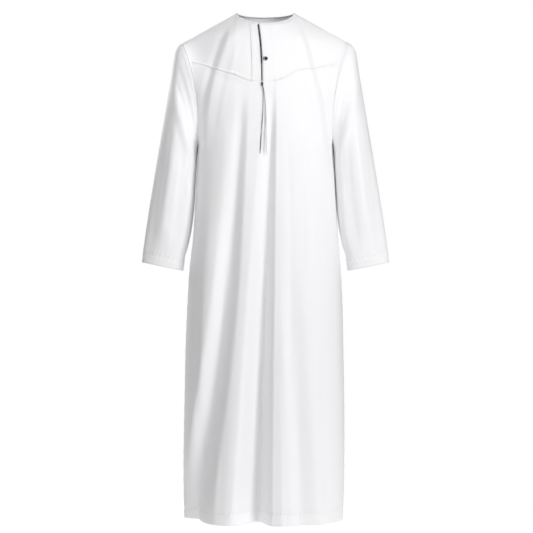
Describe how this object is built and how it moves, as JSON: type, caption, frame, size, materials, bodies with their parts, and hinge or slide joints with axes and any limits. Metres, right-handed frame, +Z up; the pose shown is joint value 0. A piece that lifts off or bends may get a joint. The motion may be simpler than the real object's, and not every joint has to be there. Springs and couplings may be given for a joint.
{
  "type": "thobe robe",
  "caption": "Collarless ankle-length white robe with long set-in sleeves, neck slit with dark braid, loop, button and tassel, held in its worn hollow form.",
  "frame": {"origin": "midway between the two points where the shoulder seams meet the neck, where the garment hangs on its wearer", "axes": "+Z up, -Y towards the front of the wearer, +X towards the wearer's left"},
  "size_m": [0.7, 0.2859, 1.4281],
  "materials": {
    "white_cotton": "soft matt cotton with a faint sheen",
    "white_binding": "pressed cotton strip",
    "white_lining": "plain cotton lining",
    "charcoal_braid": "fine matt braid",
    "charcoal_thread": "matt thread",
    "charcoal_button": "polished dark button",
    "grey_tassel": "fine silky strands"
  },
  "bodies": {
    "root": {"front_panel": "white_cotton", "back_panel": "white_cotton", "sleeve_left": "white_cotton", "sleeve_right": "white_cotton", "neck_binding": "white_binding", "placket_left": "white_binding", "placket_right": "white_binding", "yoke_lining_left": "white_lining", "yoke_lining_right": "white_lining", "slit_braid": "charcoal_braid", "button_loop": "charcoal_thread", "slit_button": "charcoal_button", "tassel": "grey_tassel"}
  },
  "joints": []
}
